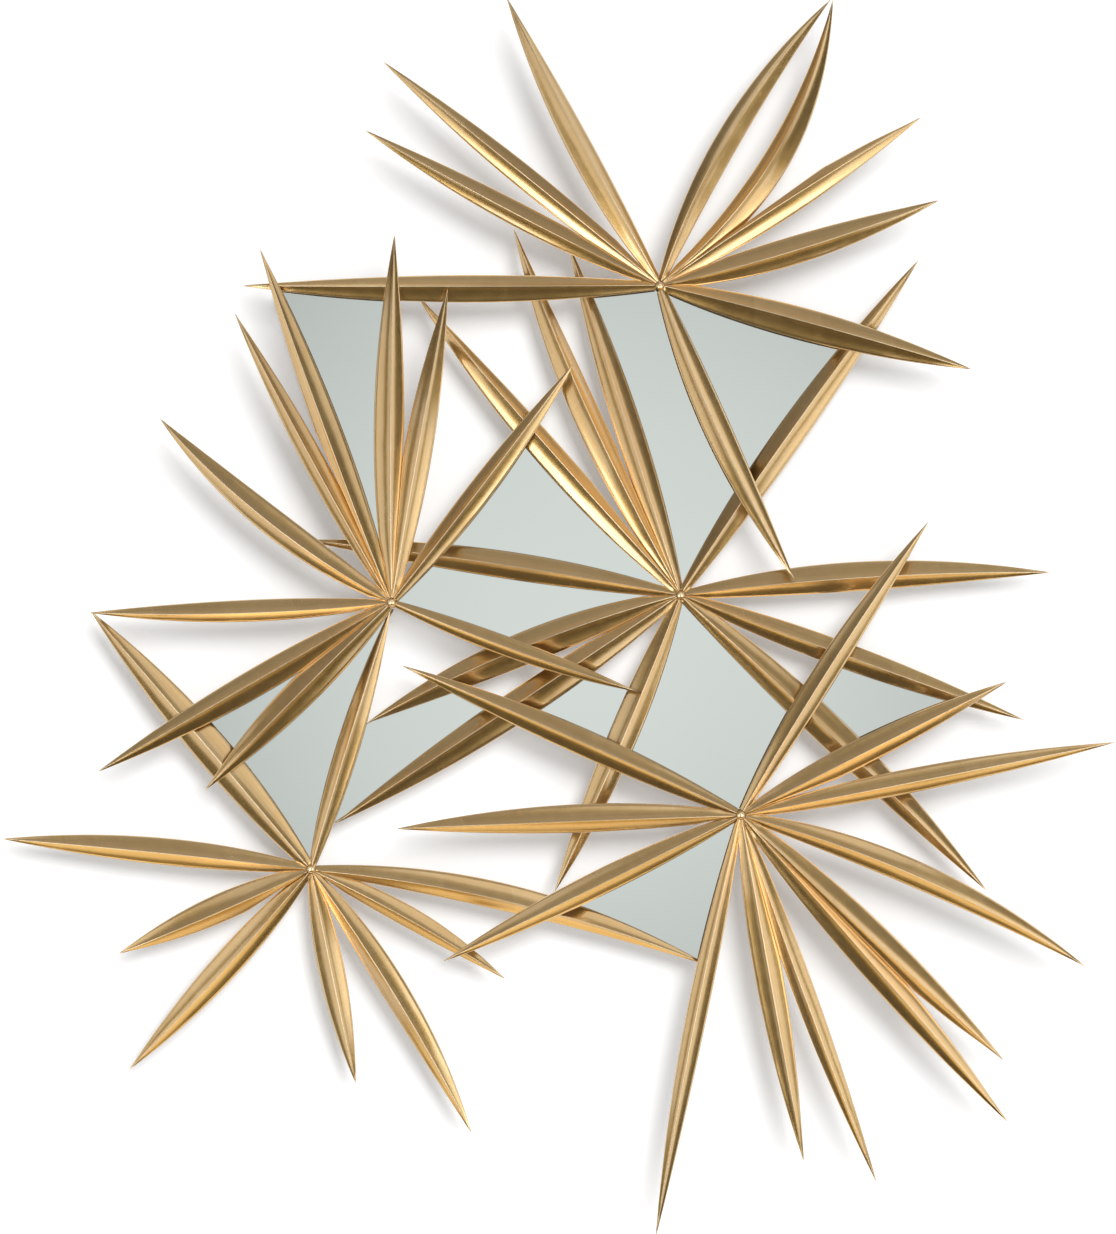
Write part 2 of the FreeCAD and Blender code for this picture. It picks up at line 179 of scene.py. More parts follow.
class RayFrame:
    """A ray's own axes: s runs from the hub to the tip, v to its left, h towards the viewer."""

    def __init__(self, part):
        points = part.reshape(-1, 3)
        spots = points[:, (0, 2)]
        gaps = [np.hypot(*(spots - np.array([place[0], place[2]])).T).min() for place in HUBS]
        hub = HUBS[int(np.argmin(gaps))]
        self.hub = np.array([hub[0], hub[2]])
        away = spots - self.hub
        tip = away[np.argmax(np.hypot(*away.T))]
        self.along = tip / float(np.hypot(*tip))
        self.left = np.array([-self.along[1], self.along[0]])

    def to_ray(self, points):
        """Points of the world as (s, v, h)."""
        flat = points[..., (0, 2)] - self.hub
        return np.stack([flat @ self.along, flat @ self.left, -points[..., 1]], axis=-1)

    def to_world(self, s, v, h):
        """A point of the ray as (x, y, z)."""
        flat = self.hub + self.along * s + self.left * v
        return flat[0], -h, flat[1]


def section(triangles, s):
    """The cut through a ray's triangles at s, as segments between (v, h) points."""
    offset = triangles[:, :, 0] - s
    cut = triangles[(offset.min(1) < 0) & (offset.max(1) > 0)]
    segments = []
    for corners in cut:
        ends = []
        for a, b in ((0, 1), (1, 2), (2, 0)):
            da, db = corners[a, 0] - s, corners[b, 0] - s
            if (da < 0) != (db < 0):
                share = da / (da - db)
                ends.append(corners[a, 1:] + share * (corners[b, 1:] - corners[a, 1:]))
        if len(ends) == 2:
            segments.append(ends)
    return np.array(segments)


def front_height(segments, v):
    """How far the section reaches towards the viewer at v."""
    low = segments[:, :, 0].min(1)
    high = segments[:, :, 0].max(1)
    over = segments[(low <= v) & (high >= v)]
    span = over[:, 1, 0] - over[:, 0, 0]
    steep = np.abs(span) < 1e-9
    share = np.where(steep, 0.5, (v - over[:, 0, 0]) / np.where(steep, 1.0, span))
    heights = over[:, 0, 1] + share * (over[:, 1, 1] - over[:, 0, 1])
    return heights.max()


def stations(length):
    """Places along a ray, closer together near its ends."""
    places = [ROOT_START]
    while places[-1] < length:
        from_end = min(places[-1] - ROOT_START, length - places[-1])
        places.append(places[-1] + END_STEP + min(1.0, from_end / END_REACH) * (STATION_STEP - END_STEP))
    return [place for place in places if place < length - TIP_GAP] + [length - TIP_END]


def smooth_outline(s, v, regular):
    """The true curve through the free part of an outline, where no mitre cuts it."""
    if regular.sum() < OUTLINE_POINTS:
        return v
    fit = np.polynomial.Polynomial.fit(s[regular], v[regular], OUTLINE_DEGREE)
    return np.where(regular, fit(s), v)


def smooth_heights(s, h):
    """Heights with the facets of the CAD mesh smoothed out, the ends left as they are."""
    weights = np.exp(-((s[:, None] - s[None, :]) / SMOOTH_REACH) ** 2)
    soft = (weights @ h) / weights.sum(1)
    from_end = np.minimum(s - s[0], s[-1] - s)
    share = np.clip((from_end - SMOOTH_START) / SMOOTH_BLEND, 0, 1)
    return h + share * (soft - h)


def ray_outline(part, axes):
    """Along a ray: the places, its two rims, its ridge, and the heights of all of them."""
    triangles = axes.to_ray(part)
    length = triangles[:, :, 0].max()
    s = np.array(stations(length))
    rows = []
    for place in s:
        cut = section(triangles, place + CUT_NUDGE)
        points = cut.reshape(-1, 2)
        low, high = points[:, 0].min(), points[:, 0].max()
        inside = min(RIM_INSET, (high - low) * RIM_INSET_SHARE)
        crest = points[np.argmax(points[:, 1])]
        ridge = min(max(crest[0], low + 2 * inside), high - 2 * inside)
        rows.append((low, high, ridge, crest[1], front_height(cut, low + inside),
                     front_height(cut, high - inside), points[:, 1].min()))
    low, high, ridge, top, rim_low, rim_high, back = np.array(rows).T
    free_low = rim_low - back < EDGE_LIMIT
    free_high = rim_high - back < EDGE_LIMIT
    low = smooth_outline(s, low, free_low)
    high = smooth_outline(s, high, free_high)
    ridge = smooth_outline(s, ridge, np.ones(len(s), bool))
    margin = RIDGE_MARGIN * (high - low)
    ridge = np.clip(ridge, low + margin, high - margin)
    return s, low, high, ridge, smooth_heights(s, top), rim_low, rim_high, back


def wave(place, seed):
    """A slow wave over the surface, the same on every run."""
    spot = Vector((place[0] * WAVE_RATE, place[1] * WAVE_RATE, place[2] * WAVE_RATE + seed))
    return noise.noise(spot) * WAVE


def half_section(rim_v, ridge_v, rim_h, top_h, back_h):
    """From a ray's back corner up to just short of its ridge: v, h and each point's wear and painted
    highlight.
    """
    side = 1.0 if ridge_v > rim_v else -1.0
    width = abs(ridge_v - rim_v)
    rise = top_h - rim_h
    roll = min(ROLL_WIDTH, ROLL_SHARE * width)
    depth = min(ROLL_DEPTH, ROLL_SHARE * width, ROLL_HEIGHT_SHARE * (rim_h - back_h))
    crest = min(RIDGE_ROUND, RIDGE_SHARE * width)
    slope = rise / max(width, 1e-6)
    chamfer = depth * BACK_CHAMFER
    points = [(rim_v + side * chamfer, back_h, 0.0), (rim_v, back_h + chamfer, 0.0)]
    for angle, wear_and_highlight in ROLL_STEPS:
        inward = roll * (1 - math.cos(math.radians(angle)))
        drop = depth * (1 - math.sin(math.radians(angle)))
        points.append((rim_v + side * inward, rim_h - drop + slope * inward, wear_and_highlight))
    for share in FACET_STEPS:
        hollow = 2 * HOLLOW * width * share * (1 - share) * (1 + share)
        points.append((rim_v + side * width * share, rim_h + rise * share - hollow, 0.0))
    for out, down, wear_and_highlight in RIDGE_STEPS:
        points.append((ridge_v - side * crest * out, top_h - crest * slope * down, wear_and_highlight))
    return points


def carved_ray(part, axes, seed):
    """One ray's points, faces, the front faces' flags, and per point: along, across, wear and painted
    highlight.
    """
    s, low, high, ridge, top, rim_low, rim_high, back = ray_outline(part, axes)
    points, facts = [], []
    for i, place in enumerate(s):
        left = half_section(high[i], ridge[i], rim_high[i], top[i], back[i])
        right = half_section(low[i], ridge[i], rim_low[i], top[i], back[i])
        # The ridge point is the palest: worn gilding and a painted highlight line.
        ring = right + [(ridge[i], top[i] - RIDGE_ROUND * RIDGE_DROP, 1.0)] + left[::-1]
        fade = min(1.0, (high[i] - low[i]) / WAVE_WIDTH)
        for number, (v, h, wear_and_highlight) in enumerate(ring):
            spot = axes.to_world(place, v, h)
            if BACK_POINTS < number < len(ring) - BACK_POINTS - 1:
                spot = (spot[0], spot[1] + wave(spot, seed) * fade, spot[2])
            points.append(spot)
            facts.append((place, v - ridge[i], wear_and_highlight))
    size = len(ring)
    faces, front = [], []
    for i in range(len(s) - 1):
        for j in range(size):
            k = (j + 1) % size
            faces.append((i * size + j, i * size + k, (i + 1) * size + k, (i + 1) * size + j))
            front.append(j != size - 1)
    last = (len(s) - 1) * size
    faces.append(tuple(reversed(range(size))))
    faces.append(tuple(last + j for j in range(size)))
    front += [True, True]
    return points, faces, front, facts


def gilded_node(node, gold, wash, seed):
    """A node's rays, carved and gilded, as one piece with ochre-washed backs."""
    points, faces, front, facts, lots = [], [], [], [], []
    for number, part in enumerate(loose_parts(node)):
        axes = RayFrame(part)
        start = len(points)
        lot = seed + number * RAY_LOT
        new_points, new_faces, new_front, new_facts = carved_ray(part, axes, lot)
        points += new_points
        faces += [tuple(start + index for index in face) for face in new_faces]
        front += new_front
        facts += new_facts
        lots += [lot] * len(new_points)
    piece = new_mesh_object(points, faces, "carved_" + node)
    mesh = piece.data
    leaf = [(s, v, lot) for (s, v, _), lot in zip(facts, lots)]
    record_on_points(mesh, leaf, [wear_and_highlight for _, _, wear_and_highlight in facts])
    mesh.materials.append(gold)
    mesh.materials.append(wash)
    mesh.polygons.foreach_set("material_index", [0 if is_front else 1 for is_front in front])
    carved_surface(mesh)
    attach(piece, ROOT_BODY)
    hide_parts(node)


# --- materials ---------------------------------------------------------------------------------

class Tree:
    """A node tree, with short ways to add to it."""

    def __init__(self, tree):
        self.tree = tree

    def add(self, kind, **values):
        node = self.tree.nodes.new("ShaderNode" + kind)
        for key, value in values.items():
            if hasattr(node, key):
                setattr(node, key, value)
            else:
                node.inputs[key.replace("_", " ")].default_value = value
        return node

    def link(self, source, target):
        self.tree.links.new(source, target)

    def math(self, operation, a, b=None):
        node = self.add("Math", operation=operation)
        for slot, value in zip(node.inputs, (a, b)):
            if value is None:
                continue
            if isinstance(value, (int, float)):
                slot.default_value = value
            else:
                self.link(value, slot)
        return node.outputs[0]

    def line(self, output, slope, start):
        """An output turned into start + slope * output."""
        return self.math("ADD", self.math("MULTIPLY", output, slope), start)

    def blend(self, *terms):
        """The sum of (output, weight) pairs."""
        total = None
        for output, weight in terms:
            part = self.math("MULTIPLY", output, weight)
            total = part if total is None else self.math("ADD", total, part)
        return total

    def split(self, vector):
        """A vector's three parts."""
        node = self.add("SeparateXYZ")
        self.link(vector, node.inputs[0])
        return node.outputs


class Nodes(Tree):
    """A material's node tree, with what materials share."""

    def __init__(self, name):
        self.material = bpy.data.materials.new(name)
        self.material.use_nodes = True
        super().__init__(self.material.node_tree)
        self.shader = self.tree.nodes["Principled BSDF"]

    def attribute(self, name):
        return self.add("Attribute", attribute_name=name)

    def place(self):
        """Where a point lies on its object."""
        return self.add("TexCoord").outputs["Object"]

    def facing(self, axis):
        """How squarely the surface faces along a world axis."""
        return self.split(self.add("NewGeometry").outputs["Normal"])[axis]

    def scaled(self, vector, scale):
        node = self.add("Mapping")
        node.inputs["Scale"].default_value = scale
        self.link(vector, node.inputs["Vector"])
        return node.outputs[0]

    def noise(self, vector, scale, detail=3.0, roughness=0.55):
        node = self.add("TexNoise", Scale=scale, Detail=detail, Roughness=roughness)
        self.link(vector, node.inputs["Vector"])
        return node.outputs["Fac"]

    def ramp(self, factor, stops):
        """The colour that a factor picks between the stops."""
        node = self.add("ValToRGB")
        elements = node.color_ramp.elements
        while len(elements) < len(stops):
            elements.new(0.5)
        for element, (place, colour) in zip(elements, stops):
            element.position = place
            element.color = (*colour, 1.0)
        self.link(factor, node.inputs[0])
        return node.outputs[0]

    def mix(self, factor, a, b):
        """From colour a to colour b."""
        node = self.add("Mix", data_type="RGBA")
        for slot, value in ((node.inputs[0], factor), (node.inputs[6], a), (node.inputs[7], b)):
            if isinstance(value, tuple):
                slot.default_value = (*value, 1.0)
            else:
                self.link(value, slot)
        return node.outputs[2]

    def bump(self, height, distance, strength, before=None):
        """Fine relief, on top of what came before."""
        node = self.add("Bump", Distance=distance, Strength=strength)
        self.link(height, node.inputs["Height"])
        if before is not None:
            self.link(before, node.inputs["Normal"])
        return node.outputs[0]

    def finish(self, colour, roughness, normal=None, **constants):
        """Feed the shader, and return the material."""
        for name, value in (("Base Color", colour), ("Roughness", roughness), ("Normal", normal)):
            if value is None:
                continue
            if isinstance(value, (int, float)):
                self.shader.inputs[name].default_value = value
            else:
                self.link(value, self.shader.inputs[name])
        for name, value in constants.items():
            self.shader.inputs[name.replace("_", " ")].default_value = value
        return self.material


LEAF_SHEET = 78 * MM           # side of a sheet of gold leaf
LAP = 0.03                     # the share of a sheet's side that laps over the next
LOT_SPREAD = 7.3               # sheets between one ray's pattern and the next

# Colours, as (place on the ramp, colour) where there are several
GOLD_TONES = ((0.30, (0.68, 0.415, 0.125)), (0.5, (0.76, 0.48, 0.155)), (0.70, (0.83, 0.55, 0.21)))
WARM_GOLD = (0.76, 0.45, 0.12)
LAP_GOLD = (0.86, 0.68, 0.42)
WORN_AND_HIGHLIT_GOLD = (0.95, 0.80, 0.56)
WARM_PATCHES = ((0.42, (0.0, 0.0, 0.0)), (0.62, (1.0, 1.0, 1.0)))
OCHRE_TONES = ((0.3, (0.16, 0.095, 0.045)), (0.7, (0.33, 0.215, 0.105)))
GLASS_TINTS = ((0.3, (0.722, 0.775, 0.732)), (0.7, (0.74, 0.79, 0.75)))
GLASS_EDGE = (0.30, 0.42, 0.36)
GLASS_BACK = ((0.3, (0.20, 0.205, 0.20)), (0.7, (0.27, 0.275, 0.265)))
WOOD_TONES = ((0.34, (0.17, 0.10, 0.052)), (0.5, (0.29, 0.18, 0.095)), (0.66, (0.40, 0.26, 0.145)))
DARK_PLY = (0.12, 0.07, 0.035)
BRONZE_TONES = ((0.40, (0.24, 0.155, 0.065)), (0.66, (0.32, 0.215, 0.095)), (0.8, (0.40, 0.29, 0.15)))
ZINC_TONES = ((0.3, (0.50, 0.49, 0.45)), (0.75, (0.70, 0.70, 0.68)))
RUBBER_TONES = ((0.35, (0.020, 0.020, 0.021)), (0.75, (0.062, 0.060, 0.057)))

SQUARE_ON = 0.9                # a pane's front and back face this squarely along the depth
PLY_PITCH = 2.4 * MM


def leaf_sheets(nodes, place, along, across, lot):
    """Where one sheet of leaf laps over the next, and a shade drawn for each sheet."""
    shifted = nodes.math("MULTIPLY", lot, LOT_SPREAD)
    sheets = nodes.math("ADD", nodes.math("DIVIDE", along, LEAF_SHEET), shifted)
    drift = nodes.math("MULTIPLY", nodes.noise(place, 45.0, 2.0), 0.12)
    slant = nodes.math("MULTIPLY", across, 5.0)
    counted = nodes.math("ADD", nodes.math("ADD", sheets, drift), slant)
    lap = nodes.math("LESS_THAN", nodes.math("FRACT", counted), LAP)
    key = nodes.add("CombineXYZ")
    nodes.link(nodes.math("FLOOR", counted), key.inputs[0])
    nodes.link(lot, key.inputs[1])
    shade = nodes.add("TexWhiteNoise", noise_dimensions="3D")
    nodes.link(key.outputs[0], shade.inputs["Vector"])
    return lap, shade.outputs["Value"]


def gold_leaf():
    """Gold leaf over gesso: sheets with laps, brushed streaks, thin warm patches, and ridges, rims and boss
    tops paled by wear and a painted highlight.
    """
    nodes = Nodes("gold_leaf")
    leaf = nodes.attribute("leaf").outputs["Vector"]
    place = nodes.place()
    lap, shade = leaf_sheets(nodes, place, *nodes.split(leaf))
    streaks = nodes.noise(nodes.scaled(leaf, (9.0, 420.0, 3.0)), 1.0, 4.0, 0.6)
    mottle = nodes.noise(place, 70.0, 5.0, 0.62)
    clouds = nodes.noise(place, 14.0, 3.0, 0.5)
    wear_and_highlight = nodes.attribute("wear_and_highlight").outputs["Fac"]

    colour = nodes.ramp(nodes.blend((streaks, 0.5), (mottle, 0.35), (shade, 0.15)), GOLD_TONES)
    warm = nodes.ramp(clouds, WARM_PATCHES)
    # The last tint pales ridges, rims and boss tops: partly wear, partly a painted highlight.
    for patch, strength, tint in ((warm, 0.35, WARM_GOLD), (lap, 0.08, LAP_GOLD), (wear_and_highlight, 0.55, WORN_AND_HIGHLIT_GOLD)):
        colour = nodes.mix(nodes.math("MULTIPLY", patch, strength), colour, tint)

    rough = nodes.math("ADD", nodes.blend((mottle, 0.08), (shade, 0.02)), 0.20)
    normal = nodes.bump(nodes.blend((streaks, 0.5), (lap, 0.1)), 0.05 * MM, 0.6)
    normal = nodes.bump(mottle, 0.15 * MM, 0.25, normal)
    return nodes.finish(colour, rough, normal, Metallic=1.0, Coat_Weight=1.0, Coat_Roughness=0.12,
                        Coat_IOR=2.1)


def ochre_wash():
    """The unseen backs: sealed wood washed with dull ochre."""
    nodes = Nodes("ochre_backs")
    leaf = nodes.attribute("leaf").outputs["Vector"]
    grain = nodes.noise(nodes.scaled(leaf, (14.0, 300.0, 5.0)), 1.0, 5.0)
    return nodes.finish(nodes.ramp(grain, OCHRE_TONES), nodes.line(grain, 0.2, 0.55),
                        nodes.bump(grain, 0.15 * MM, 0.5))


GOLD = gold_leaf()
WASH = ochre_wash()
for order, ray_node in enumerate(sorted(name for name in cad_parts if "_star_" in name)):
    gilded_node(ray_node, GOLD, WASH, order * NODE_LOT)


def mirror_glass():
    """A silvered pane: a tinted mirror in front, greenish edges and a painted back."""
    nodes = Nodes("mirror_glass")
    depth = nodes.facing(1)
    front = nodes.math("LESS_THAN", depth, -SQUARE_ON)
    back = nodes.math("GREATER_THAN", depth, SQUARE_ON)
    place = nodes.place()
    colour = nodes.mix(front, GLASS_EDGE, nodes.ramp(nodes.noise(place, 3.0, 2.0), GLASS_TINTS))
    colour = nodes.mix(back, colour, nodes.ramp(nodes.noise(place, 60.0), GLASS_BACK))
    smudged = nodes.math("GREATER_THAN", nodes.noise(place, 9.0, 4.0), 0.62)
    nodes.link(front, nodes.shader.inputs["Metallic"])
    return nodes.finish(colour, nodes.math("ADD", nodes.blend((back, 0.45), (smudged, 0.012)), 0.02))


def plywood():
    """Stained plywood: flame grain on the faces, plies on the edges."""
    nodes = Nodes("plywood")
    place = nodes.place()
    depth = nodes.split(place)[1]
    edge = nodes.math("LESS_THAN", nodes.math("ABSOLUTE", nodes.facing(1)), 0.5)
    ply = nodes.math("GREATER_THAN", nodes.math("FRACT", nodes.math("DIVIDE", depth, PLY_PITCH)), 0.5)
    grain = nodes.noise(nodes.scaled(place, (90.0, 90.0, 5.0)), 1.0, 6.0, 0.6)
    flame = nodes.noise(nodes.scaled(place, (14.0, 14.0, 1.6)), 1.0, 2.0)
    colour = nodes.ramp(nodes.blend((grain, 0.6), (flame, 0.4)), WOOD_TONES)
    colour = nodes.mix(nodes.math("MULTIPLY", edge, nodes.math("MULTIPLY", ply, 0.6)), colour, DARK_PLY)
    return nodes.finish(colour, nodes.line(grain, 0.25, 0.42), nodes.bump(grain, 0.12 * MM, 0.4))


def painted_steel():
    """Dull bronze paint, with an orange-peel surface and scuffs."""
    nodes = Nodes("frame_steel")
    place = nodes.place()
    peel = nodes.noise(place, 900.0, 2.0)
    scuffs = nodes.noise(nodes.scaled(place, (60.0, 60.0, 22.0)), 1.0, 6.0, 0.7)
    return nodes.finish(nodes.ramp(scuffs, BRONZE_TONES), nodes.line(scuffs, 0.25, 0.33),
                        nodes.bump(peel, 0.05 * MM, 0.35))


def zinc():
    """Zinc-plated steel with a faint spangle."""
    nodes = Nodes("zinc_steel")
    place = nodes.place()
    spangle = nodes.add("TexVoronoi", Scale=420.0)
    nodes.link(place, spangle.inputs["Vector"])
    cloud = nodes.noise(place, 160.0, 4.0)
    tone = nodes.blend((cloud, 0.7), (spangle.outputs["Distance"], 0.4))
    return nodes.finish(nodes.ramp(tone, ZINC_TONES), nodes.line(cloud, 0.22, 0.2),
                        nodes.bump(cloud, 0.03 * MM, 0.3), Metallic=1.0)


def rubber():
    """Black rubber with a gritty surface and some dust."""
    nodes = Nodes("rubber")
    place = nodes.place()
    grit = nodes.noise(place, 1400.0, 3.0)
    dust = nodes.noise(place, 120.0, 4.0)
    return nodes.finish(nodes.ramp(dust, RUBBER_TONES), nodes.line(dust, 0.2, 0.62),
                        nodes.bump(grit, 0.08 * MM, 0.5))


FLAT_ANGLE = 0.5               # degrees: faces that fold less than this are one flat
EASE_ANGLE = 35.0              # arrises that fold more than this are eased
SMOOTH_ANGLE = 40.0            # folds of less than this shade as a curve


def refined(node, material, bevel, body=ROOT_BODY):
    """A CAD node's own shape with its flats joined up, its arrises eased and its curves smooth."""
    work = welded(node)
    bmesh.ops.dissolve_limit(work, angle_limit=math.radians(FLAT_ANGLE), verts=work.verts, edges=work.edges)
    mesh = bpy.data.meshes.new("fine_" + node)
    work.to_mesh(mesh)
    work.free()
    piece = bpy.data.objects.new("fine_" + node, mesh)
    bpy.context.scene.collection.objects.link(piece)
    if bevel:
        eased = piece.modifiers.new("eased", "BEVEL")
        eased.width = bevel
        eased.segments = 2
        eased.limit_method = "ANGLE"
        eased.angle_limit = math.radians(EASE_ANGLE)
    mesh.materials.append(material)
    mesh.shade_smooth()
    mesh.set_sharp_from_angle(angle=math.radians(SMOOTH_ANGLE))
    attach(piece, body)
    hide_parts(node)
    return piece


# The carved bosses: radius, and height above the rays' roots, both in millimetres
BOSS_PROFILE = ((5.9, -1.2), (5.3, 0.1), (4.75, 0.9), (4.55, 2.1), (4.0, 3.4), (2.9, 4.3), (1.4, 4.75))
BOSS_STEPS = 32
BOSS_FACETS = 7
BOSS_FACET_DEPTH = 0.035       # as a share of the radius
BOSS_SWAY = 0.02               # how far out of round it is, as a share of the radius
BOSS_TOP = 0.1                 # millimetres from the last ring up to the middle of the top
BOSS_WEAR_AND_HIGHLIGHT_HEIGHT = 4.0         # millimetres up, where the wear and painted highlight are full
# How far the boss's sides and top are paled: wear, and a painted highlight
BOSS_SIDE_WEAR_AND_HIGHLIGHT = 0.6
BOSS_TOP_WEAR_AND_HIGHLIGHT = 0.7


def boss_point(x, z, base, radius, height, turn, number):
    """A point of a boss: a radius and height of its profile, at a turn round its middle."""
    facet = BOSS_FACET_DEPTH * math.cos(BOSS_FACETS * turn + number)
    sway = BOSS_SWAY * math.sin(3 * turn + number)
    reach = radius * (1 + facet + sway) * MM
    return x + reach * math.cos(turn), -base - height * MM, z + reach * math.sin(turn)


def boss_faces(start):
    """A boss's faces, its points numbered from start: sides, top and foot."""
    faces = []
    rings = len(BOSS_PROFILE)
    for ring in range(rings - 1):
        for step in range(BOSS_STEPS):
            a = start + ring * BOSS_STEPS + step
            b = start + ring * BOSS_STEPS + (step + 1) % BOSS_STEPS
            faces.append((a, b, b + BOSS_STEPS, a + BOSS_STEPS))
    top = start + (rings - 1) * BOSS_STEPS
    for step in range(BOSS_STEPS):
        faces.append((top + step, top + (step + 1) % BOSS_STEPS, start + rings * BOSS_STEPS))
    faces.append(tuple(start + step for step in reversed(range(BOSS_STEPS))))
    return faces


def hub_bosses(gold):
    """The little carved boss on each hub: a softly faceted bead whose foot runs into the rays."""
    points, faces, wear_and_highlight = [], [], []
    for number, part in enumerate(loose_parts("hub_caps")):
        x, _, z = middle(part)
        front = -part.reshape(-1, 3)[:, 1].min()
        base = front - (BOSS_PROFILE[-1][1] + BOSS_TOP) * MM
        faces += boss_faces(len(points))
        for radius, height in BOSS_PROFILE:
            for step in range(BOSS_STEPS):
                turn = 2 * math.pi * step / BOSS_STEPS
                points.append(boss_point(x, z, base, radius, height, turn, number))
                # The boss pales towards its top: wear, and a painted highlight.
                wear_and_highlight.append(min(1.0, max(0.0, height / BOSS_WEAR_AND_HIGHLIGHT_HEIGHT)) * BOSS_SIDE_WEAR_AND_HIGHLIGHT)
        points.append((x, -front, z))
        wear_and_highlight.append(BOSS_TOP_WEAR_AND_HIGHLIGHT)
    piece = new_mesh_object(points, faces, "hub_bosses")
    mesh = piece.data
    record_on_points(mesh, points, wear_and_highlight)
    mesh.materials.append(gold)
    carved_surface(mesh)
    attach(piece, ROOT_BODY)
    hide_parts("hub_caps")


GLASS = mirror_glass()
PANES = [refined(pane, GLASS, 0.7 * MM)
         for pane in sorted(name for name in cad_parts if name.endswith("_pane"))]
ZINC = zinc()
STEEL = painted_steel()
refined("backing_boards", plywood(), 0.4 * MM)
refined("frame_bars", STEEL, 0.5 * MM)
refined("hub_rods", STEEL, 0.0)
refined("hanger_straps", ZINC, 0.3 * MM)
refined("screws", ZINC, 0.0)
refined("wall_bumpers", rubber(), 1.0 * MM)
refined("left_hanger_ring", ZINC, 0.0, body="left_hanger_ring")
refined("right_hanger_ring", ZINC, 0.0, body="right_hanger_ring")
hub_bosses(GOLD)


# --- the stage ---------------------------------------------------------------------------------

FRAME_HEIGHT_SHARE = 0.9958    # the view is a little lower than the mirror is tall
LENS = 200.0                   # a long lens, well back
SENSOR = 36.0                  # both in millimetres
RAY_DEPTH = 40 * MM            # the view's height is measured at the rays, this far off the wall
STAGE_REACH = 15.0             # wall and floor run past anything the camera sees
WALL_FOOT = -3.0
WALL_TOP = 12.0
WALL_BEHIND = 0.001            # the wall stands just clear of the bumpers
WALL_GLOW = 0.22               # light that a bright room adds to the wall's shadows
WALL_TONES = ((0.3, (0.90, 0.90, 0.90)), (0.7, (0.915, 0.915, 0.915)))
WHITE = (1.0, 1.0, 1.0, 1.0)
FLOOR_TONES = ((0.3, (0.78, 0.775, 0.765)), (0.7, (0.80, 0.795, 0.785)))
FLOOR_DROP = 0.35              # from the mirror's lowest tip down to the floor


def camera():
    """A camera square on to the mirror, which just fills the view from top to bottom."""
    low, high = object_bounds()
    data = bpy.data.cameras.new("camera")
    data.lens = LENS
    data.sensor_width = SENSOR
    seen = bpy.data.objects.new("camera", data)
    bpy.context.scene.collection.objects.link(seen)
    height = (high.z - low.z) * FRAME_HEIGHT_SHARE
    distance = height * LENS / SENSOR
    seen.location = ((low.x + high.x) / 2, -RAY_DEPTH - distance, (low.z + high.z) / 2)
    seen.rotation_euler = (math.pi / 2, 0, 0)
    data.clip_end = 100
    bpy.context.scene.camera = seen


def wall_and_floor():
    """A white wall that only shows from the front, and a pale floor below the mirror."""
    low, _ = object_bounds()
    corners = [(-STAGE_REACH, WALL_BEHIND, WALL_FOOT), (STAGE_REACH, WALL_BEHIND, WALL_FOOT),
               (STAGE_REACH, WALL_BEHIND, WALL_TOP), (-STAGE_REACH, WALL_BEHIND, WALL_TOP)]
    wall = new_mesh_object(corners, [(0, 1, 2, 3)], "wall")
    nodes = Nodes("wall")
    grain = nodes.noise(nodes.place(), 220.0)
    nodes.finish(nodes.ramp(grain, WALL_TONES), 0.9, Specular_IOR_Level=0.0, Emission_Color=WHITE,
                 Emission_Strength=WALL_GLOW)
    clear = nodes.add("BsdfTransparent")
    blend = nodes.add("MixShader")
    nodes.link(nodes.add("NewGeometry").outputs["Backfacing"], blend.inputs[0])
    nodes.link(nodes.shader.outputs[0], blend.inputs[1])
    nodes.link(clear.outputs[0], blend.inputs[2])
    nodes.link(blend.outputs[0], nodes.tree.nodes["Material Output"].inputs["Surface"])
    wall.data.materials.append(nodes.material)
    wall.visible_diffuse = False
    wall.visible_glossy = False
    wall.visible_shadow = False
    level = low.z - FLOOR_DROP
    corners = [(-STAGE_REACH, -STAGE_REACH, level), (STAGE_REACH, -STAGE_REACH, level),
               (STAGE_REACH, STAGE_REACH, level), (-STAGE_REACH, STAGE_REACH, level)]
    floor = new_mesh_object(corners, [(0, 1, 2, 3)], "floor")
    pale = Nodes("floor")
    speck = pale.noise(pale.place(), 90.0)
    pale.finish(pale.ramp(speck, FLOOR_TONES), 0.8)
    floor.data.materials.append(pale.material)
    floor.visible_glossy = False
    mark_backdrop(wall, floor)
    return wall


def only_for(lamp, *receivers):
    """The lamp lights these objects alone, though everything still casts shadows from it."""
    lit = bpy.data.collections.new(lamp.name + "_lights")
    for receiver in receivers:
        lit.objects.link(receiver)
    lamp.light_linking.receiver_collection = lit


def not_for(lamp, *others):
    """The lamp lights everything but these objects."""
    only_for(lamp, *others)
    for member in lamp.light_linking.receiver_collection.collection_objects:
        member.light_linking.link_state = "EXCLUDE"


def softbox(name, at, target, width, height, radiance):
    """A rectangular softbox whose face has the given brightness."""
    data = bpy.data.lights.new(name, "AREA")
    data.shape = "RECTANGLE"
    data.size = width
    data.size_y = height
    data.energy = radiance * math.pi * width * height
    lamp = bpy.data.objects.new(name, data)
    bpy.context.scene.collection.objects.link(lamp)
    lamp.location = at
    lamp.rotation_euler = (Vector(target) - Vector(at)).to_track_quat("-Z", "Y").to_euler()
    lamp.visible_camera = False
    return lamp


